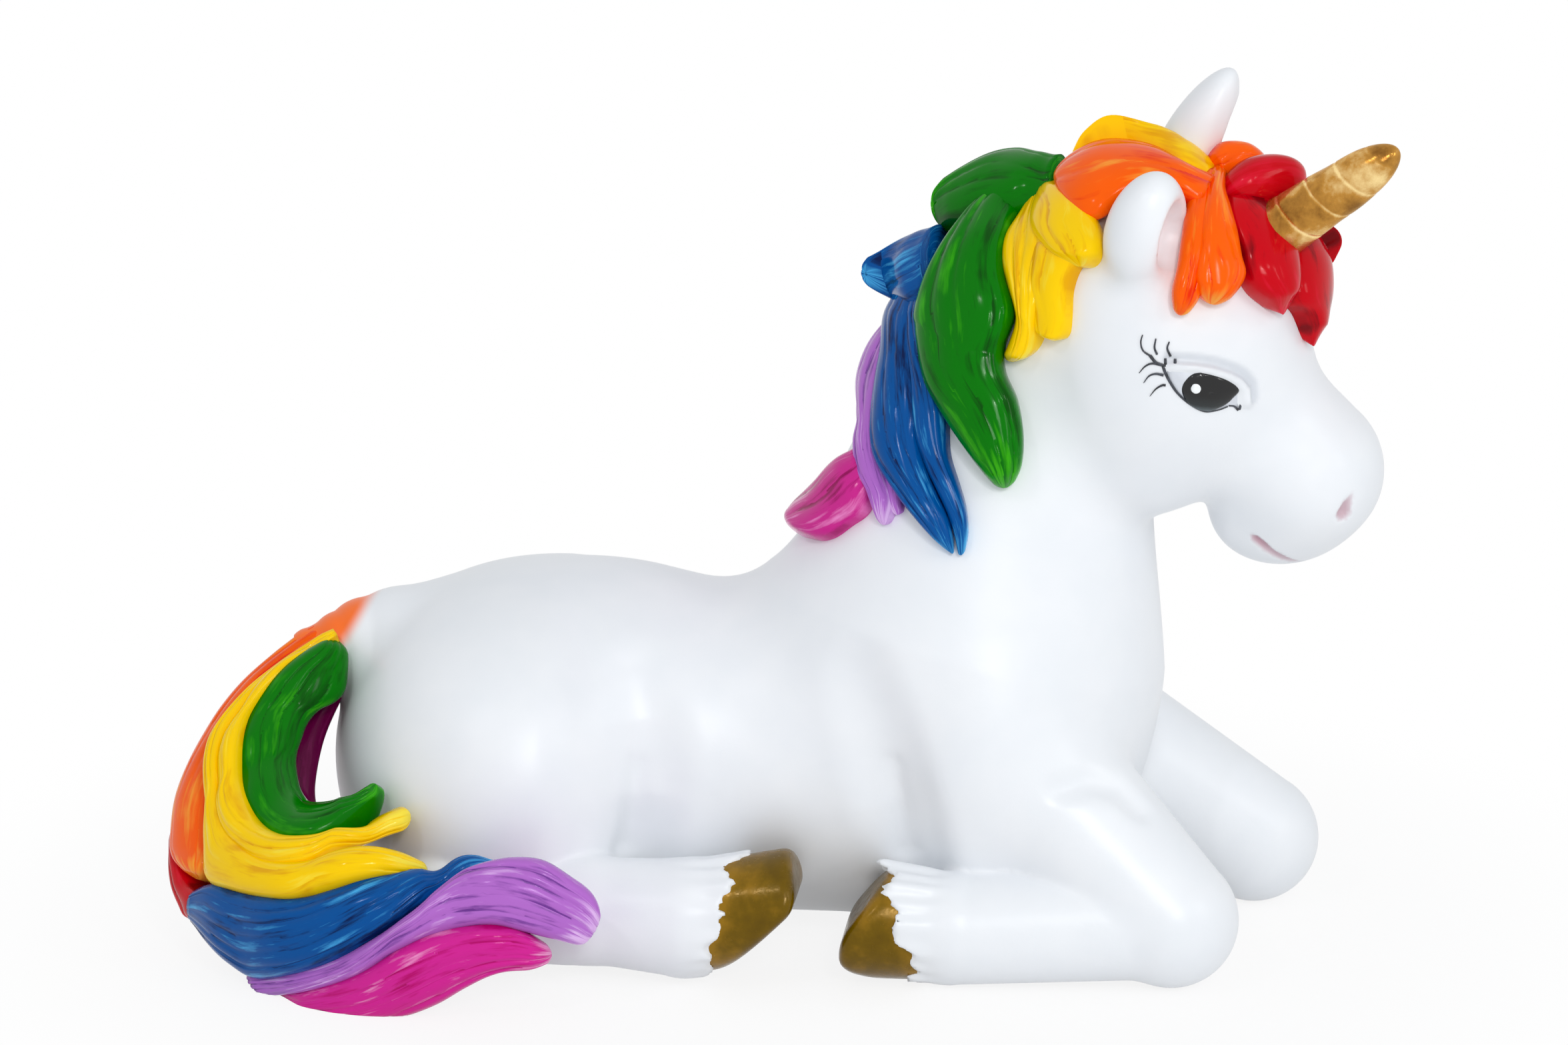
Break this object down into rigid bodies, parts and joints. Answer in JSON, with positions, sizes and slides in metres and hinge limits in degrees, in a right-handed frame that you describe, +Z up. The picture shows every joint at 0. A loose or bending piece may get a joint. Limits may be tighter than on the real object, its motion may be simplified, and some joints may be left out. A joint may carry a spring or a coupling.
{
  "type": "aquarium ornament",
  "caption": "Lying unicorn aquarium ornament: white body with folded legs, turned head, rainbow mane and tail in sculpted locks and a grooved gold horn; rests on its flat belly.",
  "frame": {"origin": "on the floor, under the middle of the flat belly", "axes": "+X towards the chest and nose, +Y to the animal's left, +Z up"},
  "size_m": [0.1309, 0.0669, 0.0952],
  "materials": {
    "white_paint": "satin-gloss white paint",
    "gold_paint": "antique gold metallic paint",
    "bronze_paint": "olive bronze metallic paint",
    "black_paint": "gloss black paint",
    "red_paint": "gloss brushed paint",
    "orange_paint": "gloss brushed paint",
    "yellow_paint": "gloss brushed paint",
    "green_paint": "gloss brushed paint",
    "blue_paint": "gloss brushed paint",
    "purple_paint": "gloss brushed paint",
    "magenta_paint": "gloss brushed paint",
    "pink_paint": "gloss brushed paint",
    "maroon_paint": "gloss brushed paint"
  },
  "bodies": {
    "root": {"body": "white_paint", "head": "white_paint", "horn": "gold_paint", "forearm_right": "white_paint", "forearm_left": "white_paint", "cannon_right": "white_paint", "cannon_left": "white_paint", "hind_leg_right": "white_paint", "hind_leg_left": "white_paint", "fore_hoof_right": "bronze_paint", "fore_hoof_left": "bronze_paint", "hind_hoof_right": "bronze_paint", "hind_hoof_left": "bronze_paint", "ear_right": "white_paint", "ear_left": "white_paint", "eye_right": "black_paint", "eye_left": "black_paint", "red_forelock": "red_paint", "red_curl": "red_paint", "red_forelock_left": "red_paint", "orange_forelock": "orange_paint", "orange_crest": "orange_paint", "orange_forelock_left": "orange_paint", "yellow_mane": "yellow_paint", "yellow_crest": "yellow_paint", "green_mane": "green_paint", "green_tuft": "green_paint", "blue_mane": "blue_paint", "blue_tuft": "blue_paint", "purple_mane": "purple_paint", "magenta_mane": "magenta_paint", "yellow_mane_left": "yellow_paint", "green_mane_left": "green_paint", "blue_mane_left": "blue_paint", "purple_mane_left": "purple_paint", "tail_green": "green_paint", "tail_yellow": "yellow_paint", "tail_orange": "orange_paint", "tail_purple": "purple_paint", "tail_blue": "blue_paint", "tail_pink": "pink_paint", "tail_red": "red_paint", "tail_core": "maroon_paint"}
  },
  "joints": []
}
